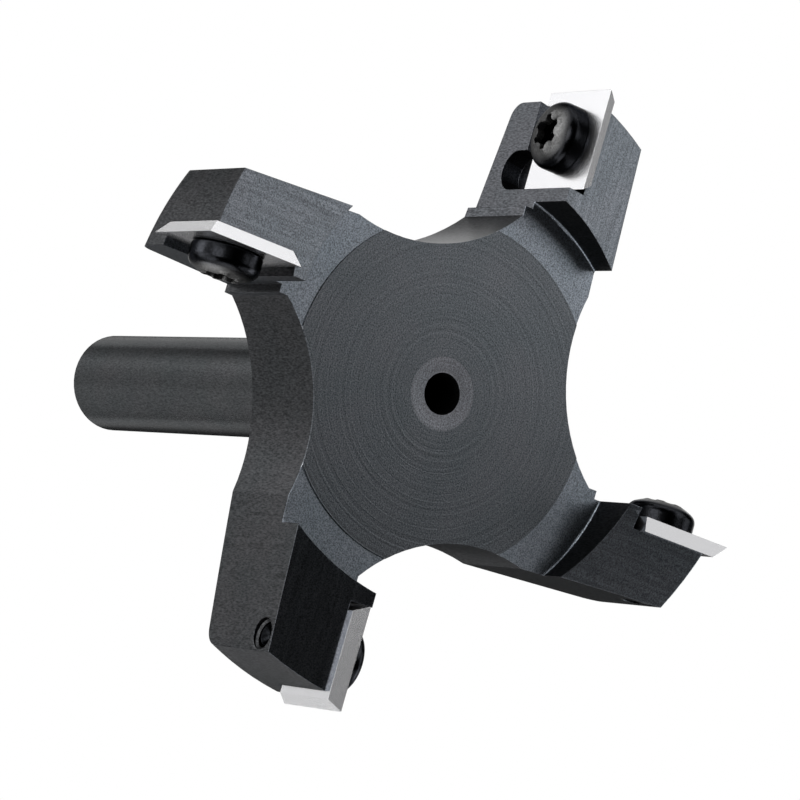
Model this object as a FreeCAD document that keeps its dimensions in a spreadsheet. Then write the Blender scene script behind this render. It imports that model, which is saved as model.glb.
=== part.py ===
"""Surfacing router bit: a turned and milled holder that carries four square cutting inserts. Millimetres.

Z is the axis of rotation. The shank points up and the inserts' lower edges lie in the cutting plane
z = 0. Arm 1 points along +X and its rake face looks towards -Y, so the bit turns clockwise seen from
the shank. The other arms follow every quarter turn.
"""

import FreeCAD
import Part
import Sketcher

import math
import os

SIZES = {
    # the shank and the whole tool
    "shank_diameter": 12.0,
    "shank_chamfer": 0.5,
    "total_length": 83.9,
    "cutting_diameter": 77.6,
    # the turned head, whose face is bored out to the recess and leaves four blocks standing round it
    "block_gap": 1.5,  # from the cutting radius in to the blocks
    "recess_diameter": 50.2,
    "disc_diameter": 39.8,
    "disc_step": 0.12,
    "face_height": 7.4,
    "recess_round": 0.25,
    "rim_height": 17.3,
    "rim_round": 2.0,
    "back_angle": 9.6,
    "neck_round": 2.5,
    # the centre hole in the face
    "centre_diameter": 4.8,
    "centre_depth": 9.0,
    "centre_tip_angle": 59.0,
    "dimple_diameter": 8.4,
    "dimple_depth": 0.05,
    # the arms, by distance from the plane through the axis
    "lead_offset": 4.95,
    "ledge_offset": 3.97,
    "ledge_reach": 23.8,
    "ridge_reach": 16.8,
    "trail_taper": 2.8,
    "gullet_radius": 20.2,
    "gullet_across": 11.95,
    "gullet_out": 35.1,
    "block_height": 1.3,
    "relief_angle": 15.0,
    # the square inserts and their seats
    "insert_side": 12.0,
    "insert_thickness": 1.5,
    "insert_bevel": 0.95,
    "insert_bore": 4.2,
    "rake_offset": 5.95,
    "seat_clearance": 0.1,
    "slot_width": 4.8,
    "slot_reach": 4.1,
    # the clamp screws
    "thread_diameter": 3.5,  # the thread is drawn plain, at its pitch diameter
    "thread_clearance": 0.05,
    "thread_length": 8.2,
    "thread_chamfer": 0.35,
    "head_diameter": 8.1,
    "head_height": 3.5,
    "head_round": 1.2,
    "crown_radius": 7.0,
    "socket_across": 4.35,
    "socket_between": 3.15,
    "socket_bump": 0.75,
    "socket_depth": 2.0,
}

ARMS = 4
BEYOND = 10.0  # how far a cut runs past the metal


class Term:
    """A size held as a number, to draw with, and as an expression of the sheet, to drive with."""

    def __init__(self, number, text=None):
        self.number = float(number)
        self.text = text or repr(float(number))

    def joined(self, sign, other, number):
        return Term(number, f"({self.text} {sign} {term(other).text})")

    def __add__(self, other):
        return self.joined("+", other, self.number + term(other).number)

    def __sub__(self, other):
        return self.joined("-", other, self.number - term(other).number)

    def __mul__(self, other):
        return self.joined("*", other, self.number * term(other).number)

    def __truediv__(self, other):
        return self.joined("/", other, self.number / term(other).number)

    def __neg__(self):
        return term(0) - self


def term(value):
    return value if isinstance(value, Term) else Term(value)


def root(value):
    return Term(math.sqrt(value.number), f"sqrt({value.text})")


def sine(angle):
    return Term(math.sin(math.radians(angle.number)), f"sin({angle.text})")


def cosine(angle):
    return Term(math.cos(math.radians(angle.number)), f"cos({angle.text})")


def tangent(angle):
    return Term(math.tan(math.radians(angle.number)), f"tan({angle.text})")


def fill_sheet(doc):
    """Write the driving sizes into the sheet, each under its own alias."""
    sheet = doc.addObject("Spreadsheet::Sheet", "Sizes")
    for row, (alias, value) in enumerate(SIZES.items(), start=1):
        sheet.set(f"A{row}", alias)
        sheet.set(f"B{row}", str(value))
        sheet.setAlias(f"B{row}", alias)
    doc.recompute()
    return sheet


class Sizes:
    """The sheet's cells as terms: sizes.shank_diameter is the cell with that alias."""

    def __init__(self, sheet):
        self.sheet = sheet

    def __getattr__(self, alias):
        return Term(getattr(self.sheet, alias), f"Sizes.{alias}")


def empty_sketch(body, role, name):
    """A sketch on one of the body's own origin planes."""
    sketch = body.newObject("Sketcher::SketchObject", name)
    plane = next(feature for feature in body.Origin.OriginFeatures if feature.Role == role)
    sketch.AttachmentSupport = [(plane, "")]
    sketch.MapMode = "FlatFace"
    return sketch


def drive_point(sketch, edge, position, axis, value):
    """Tie one coordinate of a point to the sheet, measured from the sketch's origin."""
    value = term(value)
    if value.number == 0:
        other_axis = {"X": -2, "Y": -1}[axis]
        sketch.addConstraint(Sketcher.Constraint("PointOnObject", edge, position, other_axis))
        return
    if value.number < 0:
        value = -value
        points = (edge, position, -1, 1)
    else:
        points = (-1, 1, edge, position)
    index = sketch.addConstraint(Sketcher.Constraint(f"Distance{axis}", *points, value.number))
    sketch.setExpression(f"Constraints[{index}]", value.text)


def drive_radius(sketch, edge, value):
    index = sketch.addConstraint(Sketcher.Constraint("Radius", edge, value.number))
    sketch.setExpression(f"Constraints[{index}]", value.text)


def arc_between(start, end, radius, left):
    """A short arc from start to end; left says on which side of the way its centre lies."""
    way = end - start
    side = FreeCAD.Vector(-way.y, way.x, 0).normalize() * (1 if left else -1)
    reach = math.sqrt(radius**2 - (way.Length / 2) ** 2)
    centre = (start + end) / 2 + side * reach
    middle = centre - side * radius
    return Part.Arc(start, middle, end)


def closed_outline(sketch, corners):
    """Draw and tie a closed outline. A corner is (x, y), and (x, y, radius, left) starts an arc."""
    points = [FreeCAD.Vector(term(corner[0]).number, term(corner[1]).number, 0) for corner in corners]
    count = len(corners)
    starts = []
    for index, corner in enumerate(corners):
        start, end = points[index], points[(index + 1) % count]
        if len(corner) == 2:
            edge = sketch.addGeometry(Part.LineSegment(start, end), False)
            starts.append((edge, 1, 2))
            continue
        radius, left = corner[2], corner[3]
        edge = sketch.addGeometry(arc_between(start, end, radius.number, left), False)
        # an arc is kept counter-clockwise, so one with its centre on the right is stored end first
        starts.append((edge, 1, 2) if left else (edge, 2, 1))
        drive_radius(sketch, edge, radius)
    for index, (edge, first, last) in enumerate(starts):
        following, following_first, _ = starts[(index + 1) % count]
        sketch.addConstraint(Sketcher.Constraint("Coincident", edge, last, following, following_first))
        drive_point(sketch, edge, first, "X", corners[index][0])
        drive_point(sketch, edge, first, "Y", corners[index][1])


def circle_in(sketch, across, up, radius):
    centre = FreeCAD.Vector(term(across).number, term(up).number, 0)
    edge = sketch.addGeometry(Part.Circle(centre, FreeCAD.Vector(0, 0, 1), radius.number), False)
    drive_point(sketch, edge, 3, "X", across)
    drive_point(sketch, edge, 3, "Y", up)
    drive_radius(sketch, edge, radius)


def revolved(body, sketch, name):
    feature = body.newObject("PartDesign::Revolution", name)
    feature.Profile = sketch
    feature.ReferenceAxis = (sketch, ["V_Axis"])
    feature.Angle = 360.0
    return feature


def pocket(body, sketch, name, depth, reverse):
    """Cut the sketch's outline away to a depth; reverse cuts along the sketch's normal."""
    feature = body.newObject("PartDesign::Pocket", name)
    feature.Profile = sketch
    feature.Type = "Length"
    feature.setExpression("Length", depth.text)
    feature.Reversed = reverse
    return feature


def block_radius(sizes):
    return sizes.cutting_diameter / 2 - sizes.block_gap


def past_trailing_side(sizes):
    """A distance from the axis plane that lies clear of arm 1's trailing side."""
    return sizes.gullet_out - sizes.gullet_radius + BEYOND


def insert_outer_reach(sizes):
    """How far out along the arm the insert's cutting edge lies."""
    radius = sizes.cutting_diameter / 2
    return root(radius * radius - sizes.rake_offset * sizes.rake_offset)


def insert_middle_reach(sizes):
    return insert_outer_reach(sizes) - sizes.insert_side / 2


def seat_offset(sizes):
    """Distance from the axis plane to the floor of the insert's seat."""
    return sizes.rake_offset + sizes.insert_thickness


def turned_profile(body, sizes):
    """Half section of the turned blank: shank, back cone, rim, bored face and centre hole."""
    rim = block_radius(sizes)
    shank = sizes.shank_diameter / 2
    recess = sizes.recess_diameter / 2
    hole = sizes.centre_diameter / 2
    slope = sizes.back_angle
    rounding = tangent((term(90) - slope) / 2)
    rim_run = sizes.rim_round * rounding
    neck_run = sizes.neck_round * rounding
    neck_height = sizes.rim_height + (rim - shank) * tangent(slope)
    floor = sizes.face_height + sizes.disc_step
    blank = sizes.block_height / 2
    hole_end = sizes.face_height + sizes.centre_depth
    sketch = empty_sketch(body, "XZ_Plane", "turned_section")
    closed_outline(
        sketch,
        [
            (0, hole_end + hole / tangent(sizes.centre_tip_angle)),
            (hole, hole_end),
            (hole, sizes.face_height + sizes.dimple_depth),
            (sizes.dimple_diameter / 2, sizes.face_height),
            (sizes.disc_diameter / 2, sizes.face_height),
            (sizes.disc_diameter / 2, floor),
            (recess - sizes.recess_round, floor, sizes.recess_round, False),
            (recess, floor - sizes.recess_round),
            (recess, blank),
            (rim, blank),
            (rim, sizes.rim_height - rim_run, sizes.rim_round, True),
            (rim - rim_run * cosine(slope), sizes.rim_height + rim_run * sine(slope)),
            (shank + neck_run * cosine(slope), neck_height - neck_run * sine(slope), sizes.neck_round, False),
            (shank, neck_height + neck_run),
            (shank, sizes.total_length - sizes.shank_chamfer),
            (shank - sizes.shank_chamfer, sizes.total_length),
            (0, sizes.total_length),
        ],
    )
    return revolved(body, sketch, "turned_blank")


def gullet(body, sizes):
    """The milled space from arm 1's trailing side, round the chip gullet, to arm 2's leading side."""
    across, out, radius = sizes.gullet_across, sizes.gullet_out, sizes.gullet_radius
    past = block_radius(sizes) + BEYOND
    ridge_side = sizes.ridge_reach - across
    ridge_height = out - root(radius * radius - ridge_side * ridge_side)
    ledge_side = across + sizes.ledge_offset
    ledge_start = out - root(radius * radius - ledge_side * ledge_side)
    sketch = empty_sketch(body, "XY_Plane", "gullet_outline")
    closed_outline(
        sketch,
        [
            (past, ridge_height - (past - sizes.ridge_reach) * tangent(sizes.trail_taper)),
            (past, past),
            (-sizes.lead_offset, past),
            (-sizes.lead_offset, sizes.ledge_reach),
            (-sizes.ledge_offset, sizes.ledge_reach),
            (-sizes.ledge_offset, ledge_start, radius, True),
            (sizes.ridge_reach, ridge_height),
        ],
    )
    depth = sizes.rim_height + sizes.cutting_diameter * tangent(sizes.back_angle)
    return pocket(body, sketch, "gullet", depth, True)


def block_relief(body, sizes):
    """The slope under arm 1's block: the leading edge is the lowest, the trailing edge the highest."""
    rise = tangent(sizes.relief_angle)
    near = sizes.lead_offset / 2
    far = past_trailing_side(sizes)
    sketch = empty_sketch(body, "YZ_Plane", "relief_outline")
    closed_outline(
        sketch,
        [
            (near, -term(BEYOND)),
            (far, -term(BEYOND)),
            (far, sizes.block_height + (far - sizes.lead_offset) * rise),
            (near, sizes.block_height - (sizes.lead_offset - near) * rise),
        ],
    )
    return pocket(body, sketch, "block_relief", sizes.cutting_diameter, True)


def insert_seat(body, sizes):
    """Arm 1's seat, open downwards and outwards, with the cutter's round-ended slot in its corner."""
    outer = insert_outer_reach(sizes)
    inner = outer - sizes.insert_side - sizes.seat_clearance
    top = sizes.insert_side + sizes.seat_clearance
    half = sizes.slot_width / 2
    slot_height = sizes.insert_side + sizes.slot_reach - half
    middle = (inner + half, slot_height + half)
    sketch = empty_sketch(body, "XZ_Plane", "seat_outline")
    closed_outline(
        sketch,
        [
            (inner, -term(BEYOND)),
            (outer + BEYOND, -term(BEYOND)),
            (outer + BEYOND, top),
            (inner + sizes.slot_width, top),
            (inner + sizes.slot_width, slot_height, half, True),
            (*middle, half, True),
            (inner, slot_height),
        ],
    )
    return pocket(body, sketch, "insert_seat", seat_offset(sizes), False)


def screw_hole(body, sizes):
    """The tapped hole through arm 1, from the seat out of the trailing side."""
    sketch = empty_sketch(body, "XZ_Plane", "screw_hole_outline")
    radius = sizes.thread_diameter / 2 + sizes.thread_clearance
    circle_in(sketch, insert_middle_reach(sizes), sizes.insert_side / 2, radius)
    return pocket(body, sketch, "screw_hole", past_trailing_side(sizes), False)


def make_holder(doc, sizes):
    """The one-piece holder: the turned blank, milled in the same way on four sides."""
    body = doc.addObject("PartDesign::Body", "cutter_body")
    turned_profile(body, sizes)
    cuts = [make(body, sizes) for make in (gullet, block_relief, insert_seat, screw_hole)]
    pattern = body.newObject("PartDesign::PolarPattern", "four_arms")
    pattern.Originals = cuts
    axis = next(feature for feature in body.Origin.OriginFeatures if feature.Role == "Z_Axis")
    pattern.Axis = (axis, [""])
    pattern.Angle = 360.0
    pattern.Occurrences = ARMS
    body.Tip = pattern
    return body


def arm_turn(arm):
    return FreeCAD.Rotation(FreeCAD.Vector(0, 0, 1), 360.0 / ARMS * arm)


def make_insert(doc, sizes, arm):
    """A square insert: its rake face is the full square, its bevels narrow it towards its back."""
    outer = insert_outer_reach(sizes)
    inner = outer - sizes.insert_side
    bevel = sizes.insert_bevel
    plate = doc.addObject("Part::Wedge", f"plate_{arm + 1}")
    for name, size in {
        "Xmin": inner,
        "Xmax": outer,
        "X2min": inner + bevel,
        "X2max": outer - bevel,
        "Ymin": sizes.rake_offset,
        "Ymax": seat_offset(sizes),
        "Zmin": term(0),
        "Zmax": sizes.insert_side,
        "Z2min": bevel,
        "Z2max": sizes.insert_side - bevel,
    }.items():
        plate.setExpression(name, size.text)
    bore = doc.addObject("Part::Cylinder", f"bore_{arm + 1}")
    bore.setExpression("Radius", (sizes.insert_bore / 2).text)
    bore.setExpression("Height", seat_offset(sizes).text)
    bore.Placement = FreeCAD.Placement(
        FreeCAD.Vector(insert_middle_reach(sizes).number, 0, sizes.insert_side.number / 2),
        FreeCAD.Rotation(FreeCAD.Vector(1, 0, 0), -90),
    )
    bore.setExpression("Placement.Base.x", insert_middle_reach(sizes).text)
    bore.setExpression("Placement.Base.z", (sizes.insert_side / 2).text)
    insert = doc.addObject("Part::Cut", f"insert_{arm + 1}")
    insert.Base = plate
    insert.Tool = bore
    insert.Placement = FreeCAD.Placement(FreeCAD.Vector(), arm_turn(arm))
    return insert


def screw_section(body, sizes):
    """Half section of a clamp screw standing on its thread, the underside of its head at zero."""
    thread = sizes.thread_diameter / 2
    head = sizes.head_diameter / 2
    # the crown's arc is centred on the axis, and a smaller arc leads from it into the straight wall
    turn = sizes.head_round
    crown = sizes.crown_radius
    crown_centre = sizes.head_height - crown
    turn_centre = head - turn
    rise = root((crown - turn) * (crown - turn) - turn_centre * turn_centre)
    wall = crown_centre + rise
    meeting = turn / (crown - turn)
    sketch = empty_sketch(body, "XZ_Plane", "screw_section")
    closed_outline(
        sketch,
        [
            (0, -sizes.thread_length),
            (thread - sizes.thread_chamfer, -sizes.thread_length),
            (thread, sizes.thread_chamfer - sizes.thread_length),
            (thread, 0),
            (head, 0),
            (head, wall, turn, True),
            (turn_centre + turn_centre * meeting, wall + rise * meeting, crown, True),
            (0, sizes.head_height),
        ],
    )
    return revolved(body, sketch, "screw_blank")


def six_lobes(body, sizes):
    """The six-lobed socket: a round opening whose wall bulges inwards at six round bumps."""
    across = sizes.socket_across / 2
    bump = sizes.socket_bump
    bump_out = sizes.socket_between / 2 + bump
    # where a bump's circle crosses the opening's circle, along and beside the bump's own ray
    along = (across * across - bump * bump + bump_out * bump_out) / (bump_out * 2)
    beside = root(across * across - along * along)
    corners = []
    for step in range(6):
        ray = term(60 * step)
        right = (along * cosine(ray) + beside * sine(ray), along * sine(ray) - beside * cosine(ray))
        left = (along * cosine(ray) - beside * sine(ray), along * sine(ray) + beside * cosine(ray))
        corners.append((*right, bump, False))
        corners.append((*left, across, True))
    sketch = empty_sketch(body, "XY_Plane", "six_lobes")
    closed_outline(sketch, corners)
    sketch.setExpression("AttachmentOffset.Base.z", sizes.head_height.text)
    return pocket(body, sketch, "socket", sizes.socket_depth, False)


def make_screw(doc, sizes, arm):
    """A clamp screw: its head presses on the rake face and its thread runs into the arm."""
    body = doc.addObject("PartDesign::Body", f"clamp_screw_{arm + 1}")
    screw_section(body, sizes)
    body.Tip = six_lobes(body, sizes)
    seat = FreeCAD.Vector(
        insert_middle_reach(sizes).number, sizes.rake_offset.number, sizes.insert_side.number / 2
    )
    facing = FreeCAD.Placement(seat, FreeCAD.Rotation(FreeCAD.Vector(1, 0, 0), 90))
    body.Placement = FreeCAD.Placement(FreeCAD.Vector(), arm_turn(arm)).multiply(facing)
    return body


def check(doc, parts):
    """Stop if anything in the document failed or a sub-part isn't one sound solid."""
    for thing in doc.Objects:
        if "Invalid" in thing.State or "Error" in thing.State:
            raise RuntimeError(f"{thing.Name} failed: {thing.State}")
    for part in parts:
        if part.Shape.isNull() or not part.Shape.isValid() or len(part.Shape.Solids) != 1:
            raise RuntimeError(f"{part.Name} is not one valid solid")


def main():
    doc = FreeCAD.newDocument("surfacing_router_bit")
    sizes = Sizes(fill_sheet(doc))
    parts = [make_holder(doc, sizes)]
    parts += [make_insert(doc, sizes, arm) for arm in range(ARMS)]
    parts += [make_screw(doc, sizes, arm) for arm in range(ARMS)]
    doc.recompute()
    check(doc, parts)
    os.makedirs("parts", exist_ok=True)
    for part in parts:
        part.Label = part.Name
        part.Shape.exportStep(f"parts/{part.Label}.step")
        box = part.Shape.BoundBox
        print(f"{part.Label}: {part.Shape.Volume:.1f} mm3, z {box.ZMin:.2f} to {box.ZMax:.2f}")


main()
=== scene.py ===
"""Surfacing router bit: finishes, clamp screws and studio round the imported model. Metres."""

import math

import bmesh
import bpy
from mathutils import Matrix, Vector


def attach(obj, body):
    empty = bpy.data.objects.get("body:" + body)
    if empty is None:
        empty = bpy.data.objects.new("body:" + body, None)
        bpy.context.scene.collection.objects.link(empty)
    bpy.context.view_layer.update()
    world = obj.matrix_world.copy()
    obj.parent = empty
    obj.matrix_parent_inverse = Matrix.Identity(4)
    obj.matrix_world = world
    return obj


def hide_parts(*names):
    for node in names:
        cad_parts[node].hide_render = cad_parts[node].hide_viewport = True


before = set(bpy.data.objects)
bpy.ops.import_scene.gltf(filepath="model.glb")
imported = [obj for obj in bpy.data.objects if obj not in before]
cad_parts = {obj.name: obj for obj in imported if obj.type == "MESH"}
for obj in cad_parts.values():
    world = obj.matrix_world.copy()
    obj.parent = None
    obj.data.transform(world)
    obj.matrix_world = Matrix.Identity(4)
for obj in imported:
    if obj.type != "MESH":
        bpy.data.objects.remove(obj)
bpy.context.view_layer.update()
scene = bpy.context.scene

# The camera: a long lens below the cutting side, so that the shank points away to the left. Its
# place and aim come from the corners of the four wings.
camera = bpy.data.objects.new("camera", bpy.data.cameras.new("camera"))
scene.collection.objects.link(camera)
camera.data.sensor_width = 36.0
camera.data.lens = 202.26
camera.location = (-0.078596, -0.264215, -0.416322)
camera.rotation_mode = "QUATERNION"
camera.rotation_quaternion = (0.171650, 0.778752, 0.561425, -0.221098)
scene.camera = camera
scene.view_settings.view_transform = "Standard"

# The studio: a matt white table under the bit, a white backdrop and soft boxes all round. The table
# shows from above alone, because the photograph is taken from beneath it.
MM = 0.001
TABLE_SIZE = 4.0
TABLE_LEVEL = -0.05 * MM
TABLE_FADES_FROM = 0.25
TABLE_FADES_TO = 1.1
BACKDROP_IN_METAL = 0.01
BACKDROP_ON_TABLE = 0.45
BOX_DISTANCE = 0.9
NEARER_BOXES = {"right_front": 0.28}


def linear(hex_colour):
    """An sRGB hex value as the linear colour that a socket takes."""
    parts = [int(hex_colour[i : i + 2], 16) / 255 for i in (1, 3, 5)]
    return [p / 12.92 if p <= 0.04045 else ((p + 0.055) / 1.055) ** 2.4 for p in parts] + [1.0]


def add(tree, kind, settings=None, inputs=None):
    """A node of one kind, with its settings, its values and the links into it.

    A node given as a value stands for its first output. Map Range takes its value in socket 0, the
    range that it comes from in 1 and 2, and the range that it goes to in 3 and 4. Mix takes its
    share in 0, and its two sides in 2 and 3 for numbers, 4 and 5 for vectors, 6 and 7 for colours.
    """
    node = tree.nodes.new(kind)
    for name, value in (settings or {}).items():
        setattr(node, name, value)
    for key, value in (inputs or {}).items():
        source = value.outputs[0] if isinstance(value, bpy.types.Node) else value
        if isinstance(source, bpy.types.NodeSocket):
            tree.links.new(source, node.inputs[key])
        else:
            node.inputs[key].default_value = source
    return node


bpy.ops.object.select_all(action="DESELECT")
bpy.ops.mesh.primitive_plane_add(size=TABLE_SIZE, location=(0, 0, TABLE_LEVEL))
table = bpy.context.object
table.name = "table"
table.visible_glossy = False
table.visible_diffuse = False
table.visible_shadow = False

# matt white paint, without any gloss of its own; it fades into the backdrop and is clear from below
paint = bpy.data.materials.new("matt_white_paint")
paint.use_nodes = True
tree = paint.node_tree
tree.nodes.clear()
place = add(tree, "ShaderNodeTexCoord").outputs["Object"]
from_bit = add(tree, "ShaderNodeVectorMath", {"operation": "LENGTH"}, {0: place}).outputs["Value"]
near = add(
    tree,
    "ShaderNodeMapRange",
    {"interpolation_type": "SMOOTHSTEP"},
    {0: from_bit, 1: TABLE_FADES_FROM, 2: TABLE_FADES_TO, 3: 1.0, 4: 0.0},
)
from_below = add(tree, "ShaderNodeNewGeometry").outputs["Backfacing"]
from_above = add(tree, "ShaderNodeMath", {"operation": "SUBTRACT"}, {0: 1.0, 1: from_below})
shown = add(tree, "ShaderNodeMath", {"operation": "MULTIPLY"}, {0: near, 1: from_above})
clear = add(tree, "ShaderNodeBsdfTransparent")
white = add(tree, "ShaderNodeBsdfDiffuse", None, {"Color": linear("#f4f4f4")})
mixed = add(tree, "ShaderNodeMixShader", None, {0: shown, 1: clear, 2: white})
add(tree, "ShaderNodeOutputMaterial", None, {"Surface": mixed})
table.data.materials.append(paint)

# the backdrop is white to the camera and nearly dark to the metal, which mirrors the soft boxes
world = bpy.data.worlds.new("backdrop")
scene.world = world
world.use_nodes = True
tree = world.node_tree
tree.nodes.clear()
ray = add(tree, "ShaderNodeLightPath").outputs
metal_sees = add(
    tree,
    "ShaderNodeMath",
    {"operation": "MAXIMUM"},
    {0: ray["Is Glossy Ray"], 1: ray["Is Transmission Ray"]},
)
fill = add(
    tree,
    "ShaderNodeMapRange",
    None,
    {0: metal_sees, 1: 0.0, 2: 1.0, 3: BACKDROP_ON_TABLE, 4: BACKDROP_IN_METAL},
)
strength = add(tree, "ShaderNodeMath", {"operation": "MAXIMUM"}, {0: ray["Is Camera Ray"], 1: fill})
sky = add(tree, "ShaderNodeBackground", None, {"Color": (1, 1, 1, 1), "Strength": strength})
add(tree, "ShaderNodeOutputWorld", None, {"Surface": sky})

# each soft box: its direction from the bit, the half-angle that it fills in degrees, its radiance
SOFT_BOXES = {
    "left": ((0.32, -0.82, 0.47), 18, 4.0),
    "left_wide": ((0.30, -0.85, 0.30), 38, 0.72),
    "left_front": ((0.15, -0.54, -0.83), 13, 0.17),
    "right_edge": ((0.10, 0.98, 0.16), 13, 0.29),
    "right_side": ((-0.29, 0.94, -0.15), 15, 4.0),
    "right_lower": ((0.21, 0.89, -0.40), 14, 1.66),
    "right_under": ((-0.58, 0.66, -0.48), 18, 0.77),
    "right_upper": ((0.68, 0.55, -0.48), 16, 1.59),
    "right_front": ((0.36, 0.54, -0.76), 13, 1.38),
    "right_behind": ((0.66, 0.50, 0.56), 24, 1.71),
    "top": ((0.95, 0.15, 0.0), 30, 0.64),
    "top_front": ((0.97, 0.19, -0.15), 18, 0.37),
    "behind": ((-0.05, -0.10, 1.0), 30, 0.72),
    "behind_upper": ((0.61, 0.19, 0.77), 18, 1.15),
    "behind_left": ((0.33, -0.44, 0.84), 9, 0.4),
    "behind_lower": ((-0.50, 0.35, 0.80), 13, 0.8),
    "behind_under": ((-0.82, 0.05, 0.57), 14, 4.0),
    "under_left": ((-0.45, -0.30, 0.84), 18, 0.19),
    "under": ((-0.77, -0.38, 0.51), 15, 0.25),
    "fill_left": ((-0.45, -0.88, 0.05), 30, 1.0),
    "fill_under": ((-0.98, -0.10, 0.0), 30, 1.0),
    "fill_upper": ((0.85, -0.50, 0.05), 26, 0.9),
    "fill_right": ((-0.62, 0.76, 0.22), 18, 1.0),
    "fill_far_right": ((0.20, 0.80, 0.56), 17, 1.4),
    "fill_far_low": ((-0.30, 0.83, 0.47), 17, 1.3),
    "fill_far_left": ((-0.27, -0.93, 0.34), 16, 1.0),
    "fill_below_right": ((0.92, 0.03, -0.40), 16, 0.5),
    "fill_below_left": ((-0.93, -0.07, -0.36), 18, 0.8),
    "fill_below_front": ((-0.67, -0.74, -0.12), 16, 0.8),
    "left_low": ((0.16, -0.81, -0.51), 17, 2.5),
}
for name, (direction, half_angle, radiance) in SOFT_BOXES.items():
    distance = NEARER_BOXES.get(name, BOX_DISTANCE)
    lamp = bpy.data.lights.new(name, "AREA")
    lamp.shape = "DISK"
    lamp.size = 2 * distance * math.tan(math.radians(half_angle))
    # the power of a disk is its radiance times pi times its area
    lamp.energy = radiance * math.pi * math.pi * (lamp.size / 2) ** 2
    box = bpy.data.objects.new(name, lamp)
    box.location = Vector(direction).normalized() * distance
    box.rotation_mode = "QUATERNION"
    box.rotation_quaternion = Vector(direction).to_track_quat("Z", "Y")
    box.visible_camera = False
    scene.collection.objects.link(box)

# The holder: one piece of steel, turned and then milled, blackened in a hot salt bath. The coat is
# thin and even, so each machined face keeps its own marks: rings on the turned disc, a blasted band
# round it, cutter marks on the arms, and a ground shank.
DISC_RADIUS = 19.9 * MM
DIMPLE_RADIUS = 4.2 * MM
RECESS_RADIUS = 25.12 * MM
FLOOR_LOW = 7.3 * MM
FLOOR_TOP = 7.6 * MM
SHANK_START = 24.0 * MM
STEP_REACH = 0.2 * MM
FILLET_RADIUS = 25.0 * MM
FILLET_MIDDLE = 7.64 * MM
FILLET_REACH = 0.17 * MM
FILLET_HALF_HEIGHT = 0.12 * MM
EDGE_ROUNDING = 0.12 * MM
MARK_DEPTH = 0.034 * MM
ARM_COLOUR = "#47484a"
SHANK_COLOUR = "#535557"
# painted sheen: the leading faces are painted lighter than the arms, where they catch the soft
# boxes at a glance
LEADING_SHEEN_COLOUR = "#55575b"
UNDER_COLOUR = "#696d73"
BAND_COLOUR = "#8d949d"
DISC_COLOUR = "#696d72"
DIMPLE_COLOUR = "#808288"
# painted highlight: the step's wall and the fillet are painted bright, where light glints along
# them
PAINTED_HIGHLIGHT_COLOUR = "#b0b4ba"
ARM_CONTRAST, SHANK_CONTRAST = 0.5, 0.3
ARM_ROUGHNESS, SHANK_ROUGHNESS, UNDER_ROUGHNESS = 0.37, 0.25, 0.31

# black oxide on machined steel: a dark, faintly blue coat that shines as the metal under it does
oxide = bpy.data.materials.new("black_oxide_on_machined_steel")
oxide.use_nodes = True
tree = oxide.node_tree
tree.nodes.clear()
place = add(tree, "ShaderNodeTexCoord").outputs["Object"]
axes = add(tree, "ShaderNodeSeparateXYZ", None, {0: place}).outputs
flat = add(tree, "ShaderNodeCombineXYZ", None, {0: axes[0], 1: axes[1], 2: 0.0})
radius = add(tree, "ShaderNodeVectorMath", {"operation": "LENGTH"}, {0: flat}).outputs["Value"]
surface = add(tree, "ShaderNodeNewGeometry").outputs
facing = add(tree, "ShaderNodeSeparateXYZ", None, {0: surface["True Normal"]}).outputs

# where each face is: the recess floor and the disc on it, the dimple at the centre, the shank, and
# the faces outside the recess that look down at the work
inside_disc = add(tree, "ShaderNodeMath", {"operation": "LESS_THAN"}, {0: radius, 1: DISC_RADIUS})
inside_recess = add(
    tree, "ShaderNodeMath", {"operation": "LESS_THAN"}, {0: radius, 1: RECESS_RADIUS}
)
below_floor = add(tree, "ShaderNodeMath", {"operation": "LESS_THAN"}, {0: axes[2], 1: FLOOR_TOP})
above_low = add(tree, "ShaderNodeMath", {"operation": "GREATER_THAN"}, {0: axes[2], 1: FLOOR_LOW})
at_floor = add(tree, "ShaderNodeMath", {"operation": "MULTIPLY"}, {0: below_floor, 1: above_low})
is_floor = add(tree, "ShaderNodeMath", {"operation": "MULTIPLY"}, {0: at_floor, 1: inside_recess})
is_disc = add(tree, "ShaderNodeMath", {"operation": "MULTIPLY"}, {0: is_floor, 1: inside_disc})
in_dimple = add(tree, "ShaderNodeMath", {"operation": "LESS_THAN"}, {0: radius, 1: DIMPLE_RADIUS})
is_dimple = add(tree, "ShaderNodeMath", {"operation": "MULTIPLY"}, {0: is_disc, 1: in_dimple})
is_shank = add(tree, "ShaderNodeMath", {"operation": "GREATER_THAN"}, {0: axes[2], 1: SHANK_START})
is_under = add(tree, "ShaderNodeMath", {"operation": "LESS_THAN"}, {0: facing[2], 1: -0.9})
is_outside = add(tree, "ShaderNodeMath", {"operation": "SUBTRACT"}, {0: is_under, 1: is_floor})

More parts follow.
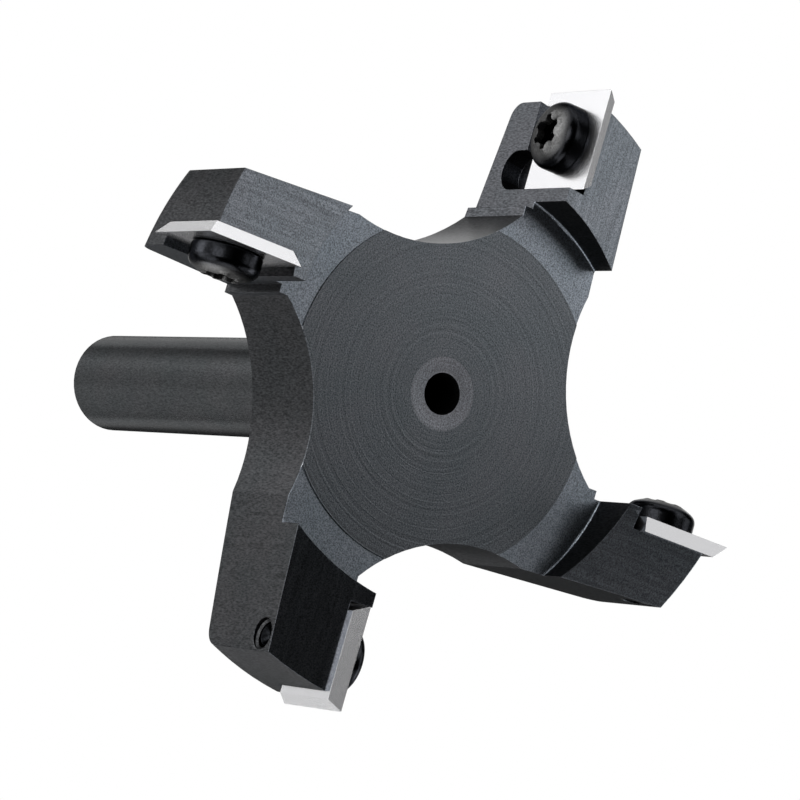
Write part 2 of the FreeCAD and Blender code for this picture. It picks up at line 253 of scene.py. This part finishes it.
# the arms' leading faces, which are square to the axes and look the way that the bit turns: it
# turns clockwise when it is seen from the shank, so the rear is the other way round. They are
# painted lighter than the arms, a painted sheen where they catch the soft boxes at a glance
rearward = add(
    tree, "ShaderNodeVectorMath", {"operation": "CROSS_PRODUCT"}, {0: (0.0, 0.0, 1.0), 1: flat}
)
rearward = add(tree, "ShaderNodeVectorMath", {"operation": "NORMALIZE"}, {0: rearward})
to_rear = add(
    tree,
    "ShaderNodeVectorMath",
    {"operation": "DOT_PRODUCT"},
    {0: surface["True Normal"], 1: rearward},
).outputs["Value"]
looks_ahead = add(tree, "ShaderNodeMath", {"operation": "LESS_THAN"}, {0: to_rear, 1: -0.8})
slant = add(tree, "ShaderNodeMath", {"operation": "MULTIPLY"}, {0: facing[0], 1: facing[1]})
is_square = add(tree, "ShaderNodeMath", {"operation": "COMPARE"}, {0: slant, 1: 0.0, 2: 0.02})
is_leading = add(tree, "ShaderNodeMath", {"operation": "MULTIPLY"}, {0: looks_ahead, 1: is_square})

# the wall of the low step round the disc, and the fillet at the foot of the recess wall, which are
# painted bright: a painted highlight along each
upright = add(tree, "ShaderNodeMath", {"operation": "GREATER_THAN"}, {0: facing[2], 1: -0.5})
at_step = add(
    tree, "ShaderNodeMath", {"operation": "COMPARE"}, {0: radius, 1: DISC_RADIUS, 2: STEP_REACH}
)
upright_step = add(tree, "ShaderNodeMath", {"operation": "MULTIPLY"}, {0: upright, 1: at_step})
is_step = add(tree, "ShaderNodeMath", {"operation": "MULTIPLY"}, {0: upright_step, 1: is_floor})
at_wall = add(
    tree, "ShaderNodeMath", {"operation": "COMPARE"}, {0: radius, 1: FILLET_RADIUS, 2: FILLET_REACH}
)
at_foot = add(
    tree,
    "ShaderNodeMath",
    {"operation": "COMPARE"},
    {0: axes[2], 1: FILLET_MIDDLE, 2: FILLET_HALF_HEIGHT},
)
hollow = add(tree, "ShaderNodeMath", {"operation": "LESS_THAN"}, {0: facing[2], 1: -0.2})
hollow_foot = add(tree, "ShaderNodeMath", {"operation": "MULTIPLY"}, {0: at_foot, 1: hollow})
is_fillet = add(tree, "ShaderNodeMath", {"operation": "MULTIPLY"}, {0: at_wall, 1: hollow_foot})

# the grain is near 0.05 mm on the bit; it is drawn coarser, because that is finer than a pixel. The
# side of the milling cutter leaves upright marks on the walls, so the grain is drawn out there
GRAIN_SIZE = 0.17 * MM
UPRIGHT_SHORTENING = 0.3
drawn_up = add(
    tree,
    "ShaderNodeVectorMath",
    {"operation": "MULTIPLY"},
    {0: place, 1: (1.0, 1.0, UPRIGHT_SHORTENING)},
)
grain = add(
    tree,
    "ShaderNodeTexNoise",
    None,
    {"Vector": drawn_up, "Scale": 1 / GRAIN_SIZE, "Detail": 1.5, "Roughness": 0.6},
)

# the salt bath leaves a faint drift of tone from place to place
DRIFT_SIZE = 7.0 * MM
cloud = add(
    tree,
    "ShaderNodeTexNoise",
    None,
    {"Vector": place, "Scale": 1 / DRIFT_SIZE, "Detail": 2.0, "Roughness": 0.5},
)

# the lathe tool's feed of near 0.2 mm leaves rings on the disc; they are drawn wider, so that they
# show
RING_SPACING = 0.5 * MM
rings = add(
    tree,
    "ShaderNodeTexNoise",
    {"noise_dimensions": "1D"},
    {"W": radius, "Scale": 1 / RING_SPACING, "Detail": 3.0, "Roughness": 0.7},
)

# the face mill leaves streaks along each arm, under 0.2 mm apart; they are drawn wider, so that
# they show
STREAK_SPACING = 0.5 * MM
STREAK_SHORTENING = 0.05
across = add(tree, "ShaderNodeVectorMath", {"operation": "ABSOLUTE"}, {0: place})
sides = add(tree, "ShaderNodeSeparateXYZ", None, {0: across}).outputs
narrow = add(tree, "ShaderNodeMath", {"operation": "MINIMUM"}, {0: sides[0], 1: sides[1]})
lengthwise = add(tree, "ShaderNodeMath", {"operation": "MAXIMUM"}, {0: sides[0], 1: sides[1]})
drawn_out = add(
    tree, "ShaderNodeMath", {"operation": "MULTIPLY"}, {0: lengthwise, 1: STREAK_SHORTENING}
)
along_arm = add(tree, "ShaderNodeCombineXYZ", None, {0: narrow, 1: drawn_out, 2: 0.0})
streaks = add(
    tree,
    "ShaderNodeTexNoise",
    None,
    {"Vector": along_arm, "Scale": 1 / STREAK_SPACING, "Detail": 2.0, "Roughness": 0.6},
)

# the colour: each face's own tone, with a painted sheen on the leading faces and a painted
# highlight on the step and the fillet, then the marks over it
tone = add(
    tree,
    "ShaderNodeMix",
    {"data_type": "RGBA"},
    {0: is_shank, 6: linear(ARM_COLOUR), 7: linear(SHANK_COLOUR)},
).outputs[2]
for face, colour in (
    (is_leading, LEADING_SHEEN_COLOUR),
    (is_under, UNDER_COLOUR),
    (is_floor, BAND_COLOUR),
    (is_disc, DISC_COLOUR),
    (is_dimple, DIMPLE_COLOUR),
    (is_step, PAINTED_HIGHLIGHT_COLOUR),
    (is_fillet, PAINTED_HIGHLIGHT_COLOUR),
):
    mix = add(tree, "ShaderNodeMix", {"data_type": "RGBA"}, {0: face, 6: tone, 7: linear(colour)})
    tone = mix.outputs[2]
soft = add(
    tree,
    "ShaderNodeMapRange",
    None,
    {0: is_shank, 1: 0.0, 2: 1.0, 3: ARM_CONTRAST, 4: SHANK_CONTRAST},
)
darkest = add(tree, "ShaderNodeMath", {"operation": "SUBTRACT"}, {0: 1.0, 1: soft})
lightest = add(tree, "ShaderNodeMath", {"operation": "ADD"}, {0: 1.0, 1: soft})
speckle = add(tree, "ShaderNodeMapRange", None, {0: grain, 1: 0.3, 2: 0.7, 3: darkest, 4: lightest})
drift = add(tree, "ShaderNodeMapRange", None, {0: cloud, 1: 0.35, 2: 0.65})
drift_tone = add(
    tree,
    "ShaderNodeMix",
    {"data_type": "RGBA"},
    {0: drift, 6: linear("#f4f6f5"), 7: linear("#fffdfc")},
).outputs[2]
ring_tone = add(tree, "ShaderNodeMapRange", None, {0: rings, 1: 0.3, 2: 0.7, 3: 0.89, 4: 1.09})
streak_tone = add(tree, "ShaderNodeMapRange", None, {0: streaks, 1: 0.3, 2: 0.7, 3: 0.8, 4: 1.2})
for share, marks in (
    (1.0, speckle),
    (1.0, drift_tone),
    (is_disc, ring_tone),
    (is_outside, streak_tone),
):
    mix = add(
        tree,
        "ShaderNodeMix",
        {"data_type": "RGBA", "blend_type": "MULTIPLY"},
        {0: share, 6: tone, 7: marks},
    )
    tone = mix.outputs[2]

# the relief: grain everywhere, rings on the disc, and edges a little rounded, but not in the recess
ring_rise = add(tree, "ShaderNodeMath", {"operation": "SUBTRACT"}, {0: rings, 1: 0.5})
ring_height = add(tree, "ShaderNodeMath", {"operation": "MULTIPLY"}, {0: ring_rise, 1: is_disc})
height = add(
    tree, "ShaderNodeMath", {"operation": "MULTIPLY_ADD"}, {0: grain, 1: 0.6, 2: ring_height}
)
softer = add(tree, "ShaderNodeMath", {"operation": "MULTIPLY"}, {0: height, 1: soft})
rounded = add(tree, "ShaderNodeBevel", {"samples": 6}, {"Radius": EDGE_ROUNDING})
edges = add(
    tree, "ShaderNodeMix", {"data_type": "VECTOR"}, {0: is_floor, 4: rounded, 5: surface["Normal"]}
).outputs[1]
bump = add(
    tree,
    "ShaderNodeBump",
    None,
    {"Strength": 1.0, "Distance": MARK_DEPTH, "Height": softer, "Normal": edges},
)
rough = add(
    tree,
    "ShaderNodeMapRange",
    None,
    {0: is_shank, 1: 0.0, 2: 1.0, 3: ARM_ROUGHNESS, 4: SHANK_ROUGHNESS},
)
rough = add(
    tree, "ShaderNodeMix", {"data_type": "FLOAT"}, {0: is_outside, 2: rough, 3: UNDER_ROUGHNESS}
)
steel = add(
    tree,
    "ShaderNodeBsdfPrincipled",
    None,
    {
        "Base Color": tone,
        "Metallic": 1.0,
        "Specular Tint": linear("#b4b4b4"),
        "Roughness": rough,
        "Normal": bump,
    },
)
add(tree, "ShaderNodeOutputMaterial", None, {"Surface": steel})
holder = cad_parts["cutter_body"]
holder.data.materials.clear()
holder.data.materials.append(oxide)

# The inserts: four squares of sintered tungsten carbide with a bevelled edge on each side. They are
# ground all over on a fine wheel, and each is clamped in its seat by one screw.
ARMS = 4
GRIND_SIZE = 0.12 * MM
GRIND_DEPTH = 0.004 * MM
KEEN_EDGE = 0.03 * MM

# ground carbide: bright grey with a satin shine. The wheel's grit of near 0.05 mm is finer than a
# pixel, so its marks are drawn coarser
carbide = bpy.data.materials.new("ground_carbide")
carbide.use_nodes = True
tree = carbide.node_tree
tree.nodes.clear()
place = add(tree, "ShaderNodeTexCoord").outputs["Object"]
grain = add(
    tree,
    "ShaderNodeTexNoise",
    None,
    {"Vector": place, "Scale": 1 / GRIND_SIZE, "Detail": 2.0, "Roughness": 0.6},
)
edges = add(tree, "ShaderNodeBevel", {"samples": 6}, {"Radius": KEEN_EDGE})
bump = add(
    tree,
    "ShaderNodeBump",
    None,
    {"Strength": 1.0, "Distance": GRIND_DEPTH, "Height": grain, "Normal": edges},
)
satin = add(
    tree,
    "ShaderNodeBsdfPrincipled",
    None,
    {"Base Color": linear("#e8e8ea"), "Metallic": 1.0, "Roughness": 0.22, "Normal": bump},
)
add(tree, "ShaderNodeOutputMaterial", None, {"Surface": satin})
for arm in range(ARMS):
    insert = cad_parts[f"insert_{arm + 1}"]
    insert.data.materials.clear()
    insert.data.materials.append(carbide)

# The clamp screws: alloy steel, cold headed with a six-lobe socket, thread rolled, then hardened
# and blackened. The punch leaves a small lip round the socket, and the rolling a hollow in the tip.
CUTTING_RADIUS = 38.8 * MM
HALF_INSERT = 6.0 * MM
RAKE_Y = 5.95 * MM
SEAT_X = math.sqrt(CUTTING_RADIUS**2 - RAKE_Y**2) - HALF_INSERT
SEAT_Z = HALF_INSERT
RING_POINTS = 96
POINT_ANGLE = math.radians(360 / RING_POINTS)
LOBES = 6
LOBE_ANGLE = math.radians(360 / LOBES)
SOCKET_RADIUS = 2.175 * MM
SOCKET_DEPTH = 2.0 * MM
SOCKET_CHAMFER = 0.1 * MM
SOCKET_TAPER = 0.97
CONE_DEPTH = 0.45 * MM
CONE_TIP = 0.1
BUMP_RADIUS = 0.75 * MM
BUMP_CENTRE = 2.325 * MM
BUMP_POINTS = 6
LIP_HEIGHT = 0.03 * MM
LIP_SPREAD = 1.07
CROWN_TOP = 3.5 * MM
CROWN_RADIUS = 7.0 * MM
CROWN_START = 2.6 * MM
CROWN_RINGS = (2.9 * MM, 3.2 * MM)
HEAD_RADIUS = 4.05 * MM
TURN_RADIUS = 1.2 * MM
TURN_STEPS = 10
THREAD_ROOT = 1.5 * MM
THREAD_CREST = 1.78 * MM
THREAD_END = -8.2 * MM
HOLLOW_RISE = 0.1 * MM
TINY = 0.001 * MM


def crown(reach):
    """Height of the head's crown at a distance from its axis."""
    return CROWN_TOP - CROWN_RADIUS + math.sqrt(CROWN_RADIUS**2 - reach**2)


def select_only(mesh, chosen):
    """Select the vertices of the edited mesh that a test chooses, and the edges between them."""
    edited = bmesh.from_edit_mesh(mesh)
    for vertex in edited.verts:
        vertex.select_set(chosen(vertex))
    edited.select_flush_mode()
    bmesh.update_edit_mesh(mesh)


def pick(piece):
    """Select one object alone and make it the active one."""
    bpy.ops.object.select_all(action="DESELECT")
    piece.select_set(True)
    bpy.context.view_layer.objects.active = piece


def extrude_to(rise, spread):
    """Extrude the selected ring along the screw's axis, and then widen or narrow it."""
    bpy.ops.mesh.extrude_region_move(TRANSFORM_OT_translate={"value": (0, 0, rise)})
    bpy.ops.transform.resize(value=(spread, spread, 1), center_override=(0, 0, 0))


# the socket's outline: a circle with six round bumps pressed inwards
bpy.ops.object.select_all(action="DESELECT")
bpy.ops.mesh.primitive_circle_add(
    vertices=RING_POINTS, radius=SOCKET_RADIUS, fill_type="NOTHING", location=(0, 0, 0)
)
blank = bpy.context.object
blank.name = "clamp_screw_blank"
bpy.ops.object.mode_set(mode="EDIT")
bpy.ops.mesh.select_mode(type="VERT")
bump_reaches = []
for step in range(BUMP_POINTS):
    turn = step * POINT_ANGLE
    half_chord = math.sqrt(BUMP_RADIUS**2 - (BUMP_CENTRE * math.sin(turn)) ** 2)
    reach = BUMP_CENTRE * math.cos(turn) - half_chord
    bump_reaches.append(reach)

    def on_bump(vertex, turn=turn):
        angle = math.atan2(vertex.co.y, vertex.co.x) % LOBE_ANGLE
        return abs(min(angle, LOBE_ANGLE - angle) - turn) < POINT_ANGLE / 4

    select_only(blank.data, on_bump)
    press = reach / SOCKET_RADIUS
    bpy.ops.transform.resize(value=(press, press, 1), center_override=(0, 0, 0))

# the socket: a small chamfer, straight walls and a cone left by the punch
bpy.ops.mesh.select_all(action="SELECT")
rim_height = crown(SOCKET_RADIUS) + LIP_HEIGHT
bpy.ops.transform.translate(value=(0, 0, rim_height))
extrude_to(-SOCKET_CHAMFER, SOCKET_TAPER)
extrude_to(-SOCKET_DEPTH, 1)
extrude_to(-CONE_DEPTH, CONE_TIP)
bpy.ops.mesh.merge(type="CENTER")

# the lip round the socket, then the crown, where the outline becomes a circle
select_only(blank.data, lambda vertex: abs(vertex.co.z - rim_height) < TINY)
extrude_to(-LIP_HEIGHT, LIP_SPREAD)
bpy.ops.mesh.extrude_region_move(
    TRANSFORM_OT_translate={"value": (0, 0, crown(CROWN_START) - crown(SOCKET_RADIUS))}
)
bpy.ops.transform.tosphere(value=1.0)
plain_points = RING_POINTS // LOBES - (2 * BUMP_POINTS - 1)
lobe_reaches = bump_reaches + bump_reaches[1:] + [SOCKET_RADIUS] * plain_points
mean_reach = LIP_SPREAD * sum(lobe_reaches) / len(lobe_reaches)
spread = CROWN_START / mean_reach
bpy.ops.transform.resize(value=(spread, spread, 1), center_override=(0, 0, 0))

# the rest of the profile, as the radius and height of each ring: the crown, its rounded turn into
# the head's side, the flat underneath, the neck, the thread's core and the hollow tip
turn_centre_reach = HEAD_RADIUS - TURN_RADIUS
crown_centre = CROWN_TOP - CROWN_RADIUS
turn_centre_rise = math.sqrt((CROWN_RADIUS - TURN_RADIUS) ** 2 - turn_centre_reach**2)
turn_centre_height = crown_centre + turn_centre_rise
meeting = math.atan2(turn_centre_rise, turn_centre_reach)
profile = [(reach, crown(reach)) for reach in CROWN_RINGS]
for step in range(TURN_STEPS + 1):
    angle = meeting * (1 - step / TURN_STEPS)
    reach = turn_centre_reach + TURN_RADIUS * math.cos(angle)
    profile.append((reach, turn_centre_height + TURN_RADIUS * math.sin(angle)))
profile += [
    (HEAD_RADIUS, 0.25 * MM),
    (HEAD_RADIUS - 0.2 * MM, 0.02 * MM),
    (2.2 * MM, 0.02 * MM),
    (THREAD_CREST, -0.35 * MM),
    (THREAD_CREST, -1.3 * MM),
    (THREAD_ROOT, -1.6 * MM),
    (THREAD_ROOT, THREAD_END + 0.55 * MM),
    (THREAD_ROOT - 0.3 * MM, THREAD_END),
    (THREAD_ROOT - 0.42 * MM, THREAD_END),
    (0.5 * MM, THREAD_END + 0.45 * MM),
]
reach_now, height_now = CROWN_START, crown(CROWN_START)
for reach, level in profile:
    extrude_to(level - height_now, reach / reach_now)
    reach_now, height_now = reach, level
bpy.ops.mesh.extrude_region_move(TRANSFORM_OT_translate={"value": (0, 0, HOLLOW_RISE)})
bpy.ops.mesh.merge(type="CENTER")
bpy.ops.mesh.select_all(action="SELECT")
bpy.ops.mesh.normals_make_consistent(inside=False)
bpy.ops.object.mode_set(mode="OBJECT")

# the rolled thread: a three-sided ridge wound round the core with the Screw modifier
PITCH = 0.7 * MM
THREAD_TURNS = 9
THREAD_FOOT = -7.75 * MM
RIDGE = 0.23 * MM
RIDGE_OFFSET = 0.2 * RIDGE
RIDGE_STRETCH = 1.5
END_SHRINK = 0.05
END_SINK = 0.04 * MM
STEPS_PER_TURN = 32


def wind_ridge(name, outwards, root_radius, start, turns):
    """A helical ridge of three-sided section on a cylinder, its ends drawn down into the root."""
    bpy.ops.object.select_all(action="DESELECT")
    side = 1 if outwards else -1
    bpy.ops.mesh.primitive_circle_add(
        vertices=3,
        radius=RIDGE,
        fill_type="NOTHING",
        location=(root_radius + side * RIDGE_OFFSET, 0, start),
        rotation=(math.radians(90), side * math.radians(90), 0),
    )
    wound = bpy.context.object
    wound.name = name
    wound.scale = (RIDGE_STRETCH, 1, 1)
    bpy.ops.object.transform_apply(location=True, rotation=True, scale=True)
    screwing = wound.modifiers.new("winding", "SCREW")
    screwing.axis = "Z"
    screwing.angle = 2 * math.pi
    screwing.iterations = turns
    screwing.screw_offset = PITCH
    screwing.steps = STEPS_PER_TURN
    screwing.render_steps = STEPS_PER_TURN
    bpy.ops.object.modifier_apply(modifier=screwing.name)
    bpy.ops.object.mode_set(mode="EDIT")
    for level in (start, start + turns * PITCH):

        def at_end(vertex, level=level):
            on_seam = vertex.co.x > 0 and abs(vertex.co.y) < 10 * TINY
            return on_seam and abs(vertex.co.z - level) < PITCH / 2

        select_only(wound.data, at_end)
        bpy.ops.transform.resize(
            value=(END_SHRINK, END_SHRINK, END_SHRINK),
            center_override=(root_radius - side * END_SINK, 0, level),
        )
    bpy.ops.mesh.select_all(action="SELECT")
    bpy.ops.mesh.fill_holes(sides=3)
    bpy.ops.mesh.normals_make_consistent(inside=False)
    bpy.ops.object.mode_set(mode="OBJECT")
    return wound


wind_ridge("thread", True, THREAD_ROOT, THREAD_FOOT, THREAD_TURNS)
blank.select_set(True)
bpy.context.view_layer.objects.active = blank
bpy.ops.object.join()

# black oxide on a headed screw: darker and glossier than the holder's. The coat's grain is finer
# than a pixel and is drawn coarser
SCREW_GRAIN = 0.22 * MM
SCREW_GRAIN_DEPTH = 0.015 * MM
SCREW_EDGE = 0.06 * MM
SCUFF_AND_SHEEN_RADIUS = 3.3 * MM
SCUFF_AND_SHEEN_FADE = 0.9 * MM
CROWN_DEPTH = 2.2 * MM
TIP_DEPTH = 1.5 * MM
COAT_COLOUR = "#26272a"
# partly painted sheen: the crown's middle is painted lighter, partly worn coat and partly the soft
# boxes' reflection
SCUFF_AND_SHEEN_COLOUR = "#585858"
# painted shade: the screw's tip, deep in its tapped hole, is painted darker than the coat
TIP_SHADE_COLOUR = "#151618"
COAT_ROUGHNESS, SCUFF_ROUGHNESS = 0.2, 0.4
screw_steel = bpy.data.materials.new("black_oxide_on_screw_steel")
screw_steel.use_nodes = True
tree = screw_steel.node_tree
tree.nodes.clear()
place = add(tree, "ShaderNodeTexCoord").outputs["Object"]
grain = add(
    tree,
    "ShaderNodeTexNoise",
    None,
    {"Vector": place, "Scale": 1 / SCREW_GRAIN, "Detail": 3.0, "Roughness": 0.6},
)

# how far a point is from its screw's axis, and along that axis, the same for all four arms
outward = add(tree, "ShaderNodeVectorMath", {"operation": "ABSOLUTE"}, {0: place})
sides = add(tree, "ShaderNodeSeparateXYZ", None, {0: outward}).outputs
lengthwise = add(tree, "ShaderNodeMath", {"operation": "MAXIMUM"}, {0: sides[0], 1: sides[1]})
from_axis = add(tree, "ShaderNodeMath", {"operation": "SUBTRACT"}, {0: lengthwise, 1: SEAT_X})
from_level = add(tree, "ShaderNodeMath", {"operation": "SUBTRACT"}, {0: sides[2], 1: SEAT_Z})
off_axis = add(tree, "ShaderNodeCombineXYZ", None, {0: from_axis, 1: from_level, 2: 0.0})
off_by = add(tree, "ShaderNodeVectorMath", {"operation": "LENGTH"}, {0: off_axis}).outputs["Value"]
along_axis = add(tree, "ShaderNodeMath", {"operation": "MINIMUM"}, {0: sides[0], 1: sides[1]})

# the driver has worn the crown's middle dull, a flat ring round the socket; it is also painted
# lighter, partly scuffed coat and partly a painted sheen where the crown mirrors the soft boxes
ragged = add(
    tree, "ShaderNodeMath", {"operation": "MULTIPLY_ADD"}, {0: grain, 1: SCUFF_AND_SHEEN_FADE, 2: off_by}
)
in_scuff_and_sheen = add(
    tree,
    "ShaderNodeMapRange",
    None,
    {0: ragged, 1: SCUFF_AND_SHEEN_RADIUS, 2: SCUFF_AND_SHEEN_RADIUS + SCUFF_AND_SHEEN_FADE, 3: 1.0, 4: 0.0},
)
on_crown = add(
    tree, "ShaderNodeMath", {"operation": "LESS_THAN"}, {0: along_axis, 1: RAKE_Y - CROWN_DEPTH}
)
scuff_and_sheen = add(tree, "ShaderNodeMath", {"operation": "MULTIPLY"}, {0: in_scuff_and_sheen, 1: on_crown})
# the screw's tip, deep in its tapped hole, is painted darker than the coat: painted shade
on_tip = add(
    tree, "ShaderNodeMath", {"operation": "GREATER_THAN"}, {0: along_axis, 1: RAKE_Y + TIP_DEPTH}
)
coat = linear(COAT_COLOUR)
for part_of_screw, colour in ((scuff_and_sheen, SCUFF_AND_SHEEN_COLOUR), (on_tip, TIP_SHADE_COLOUR)):
    mix = add(
        tree, "ShaderNodeMix", {"data_type": "RGBA"}, {0: part_of_screw, 6: coat, 7: linear(colour)}
    )
    coat = mix.outputs[2]
mottle = add(tree, "ShaderNodeMapRange", None, {0: grain, 1: 0.3, 2: 0.7, 3: 0.55, 4: 1.4})
coat = add(
    tree,
    "ShaderNodeMix",
    {"data_type": "RGBA", "blend_type": "MULTIPLY"},
    {0: 1.0, 6: coat, 7: mottle},
).outputs[2]
dull = add(
    tree,
    "ShaderNodeMapRange",
    None,
    {0: scuff_and_sheen, 1: 0.0, 2: 1.0, 3: COAT_ROUGHNESS, 4: SCUFF_ROUGHNESS},
)
edges = add(tree, "ShaderNodeBevel", {"samples": 6}, {"Radius": SCREW_EDGE})
bump = add(
    tree,
    "ShaderNodeBump",
    None,
    {"Strength": 1.0, "Distance": SCREW_GRAIN_DEPTH, "Height": grain, "Normal": edges},
)
headed_steel = add(
    tree,
    "ShaderNodeBsdfPrincipled",
    None,
    {
        "Base Color": coat,
        "Metallic": 1.0,
        "Specular Tint": linear("#b0b0b0"),
        "Roughness": dull,
        "Normal": bump,
    },
)
add(tree, "ShaderNodeOutputMaterial", None, {"Surface": headed_steel})

# each screw came to rest at its own angle, in degrees, when it was tightened
LOBE_TURNS = (34, 12, 47, 21)
CREASE = math.radians(28)


def set_in_arm(pattern, name, arm, turn):
    """A copy of a screw-shaped piece, turned on its own axis and set in one arm's tapped hole."""
    pick(pattern)
    bpy.ops.object.duplicate()
    piece = bpy.context.object
    piece.name = name
    for place, angles in (
        ((0, 0, 0), (0, 0, turn)),
        ((SEAT_X, RAKE_Y, SEAT_Z), (90, 0, 0)),
        ((0, 0, 0), (0, 0, 360 / ARMS * arm)),
    ):
        piece.location = place
        piece.rotation_euler = [math.radians(angle) for angle in angles]
        bpy.ops.object.transform_apply(location=True, rotation=True, scale=True)
    bpy.ops.object.shade_smooth_by_angle(angle=CREASE)
    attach(piece, "root")
    return piece


for arm in range(ARMS):
    screw = set_in_arm(blank, f"clamp_screw_{arm + 1}_headed", arm, LOBE_TURNS[arm])
    screw.data.materials.append(screw_steel)
    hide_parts(f"clamp_screw_{arm + 1}")
pick(blank)
bpy.ops.object.delete()

# The tapped holes: the threads that hold the clamp screws, cut into the arms' steel before the
# holder was blackened, so they have its finish. The last turn shows behind each screw's tip.
HOLE_RADIUS = 1.8 * MM
LAST_TURN_START = -8.62 * MM
LAST_TURN_ANGLE = 200
hole_thread = wind_ridge("hole_thread", False, HOLE_RADIUS, LAST_TURN_START, 1)
for arm in range(ARMS):
    turn_of_thread = set_in_arm(hole_thread, f"hole_thread_{arm + 1}", arm, LAST_TURN_ANGLE)
    turn_of_thread.data.materials.append(oxide)
pick(hole_thread)
bpy.ops.object.delete()
